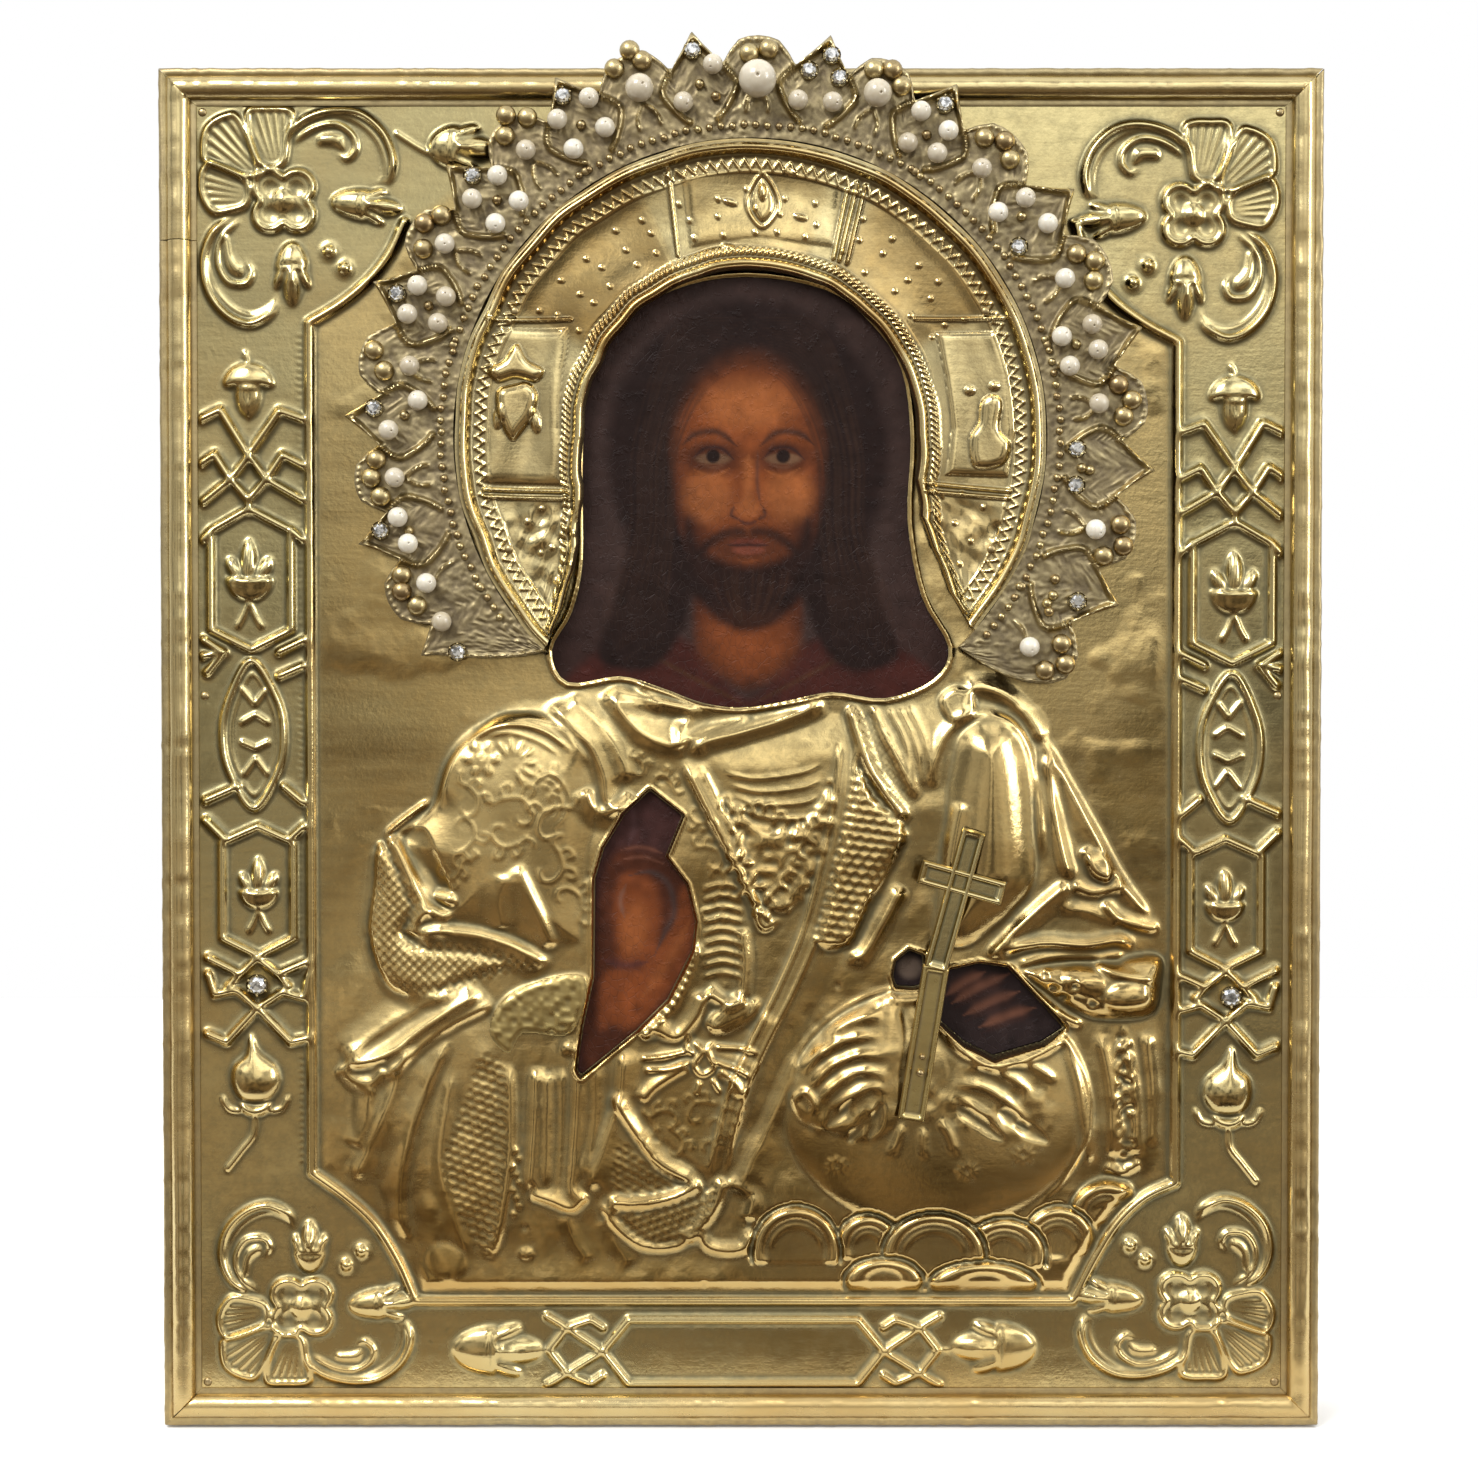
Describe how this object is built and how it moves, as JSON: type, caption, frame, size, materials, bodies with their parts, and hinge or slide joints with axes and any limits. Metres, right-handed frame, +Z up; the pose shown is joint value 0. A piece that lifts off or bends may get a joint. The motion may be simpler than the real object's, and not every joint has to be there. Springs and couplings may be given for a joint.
{
  "type": "icon",
  "caption": "Orthodox icon: painted wooden panel under an embossed brass cover with nimbus, pearl crown and a hanging ring on the back",
  "frame": {"origin": "centre of the flat bottom rest face, in the middle of the wooden panel's thickness", "axes": "+Z up the height of the icon, -Y out of its decorated front, +X to the viewer's right, +Y out of its back"},
  "size_m": [0.2686, 0.0476, 0.3203],
  "materials": {
    "panel_wood": "aged, hand planed",
    "batten_wood": "aged oak",
    "linen": "sized",
    "gesso": "matte chalk ground",
    "paint": "aged varnish over tempera",
    "embossed_brass": "worn, uneven polish",
    "rim_brass": "rubbed bright",
    "nail_brass": "dull",
    "polished_brass": "polished",
    "dull_brass": "dull with grey deposits",
    "rough_brass": "rough granulated",
    "pearl": "pearl lustre",
    "cut_glass": "faceted, foil backed",
    "iron": "forged, darkened"
  },
  "bodies": {
    "icon": {"panel_plank_left": "panel_wood", "panel_plank_right": "panel_wood", "batten_upper": "batten_wood", "batten_lower": "batten_wood", "linen_layer": "linen", "gesso_ground": "gesso", "paint_layer": "paint", "cover_sheet": "embossed_brass", "rim_strip_top": "rim_brass", "rim_strip_right": "rim_brass", "rim_strip_bottom": "rim_brass", "rim_strip_left_upper": "rim_brass", "rim_strip_left_lower": "rim_brass", "rim_nails": "nail_brass", "cover_pins": "nail_brass", "nimbus_ring": "polished_brass", "nimbus_nails": "nail_brass", "crown_plate": "dull_brass", "crown_nails": "nail_brass", "crown_pearls": "pearl", "crown_crystals": "cut_glass", "crystal_cups": "dull_brass", "border_crystals": "cut_glass", "border_cups": "dull_brass", "orb_cross": "rim_brass", "cross_foot": "dull_brass", "cross_rivets": "nail_brass", "cuff_patch": "rough_brass", "ring_plate": "iron", "ring_staple": "iron"},
    "hanging_ring": {"hanging_ring": "iron"}
  },
  "joints": [
    {"name": "hanging_ring_swing", "type": "hinge", "parent": "icon", "child": "hanging_ring", "pos_m": [0, 0.01535, 0.292], "axis": [1, 0, 0], "range_deg": [0, 180]}
  ]
}
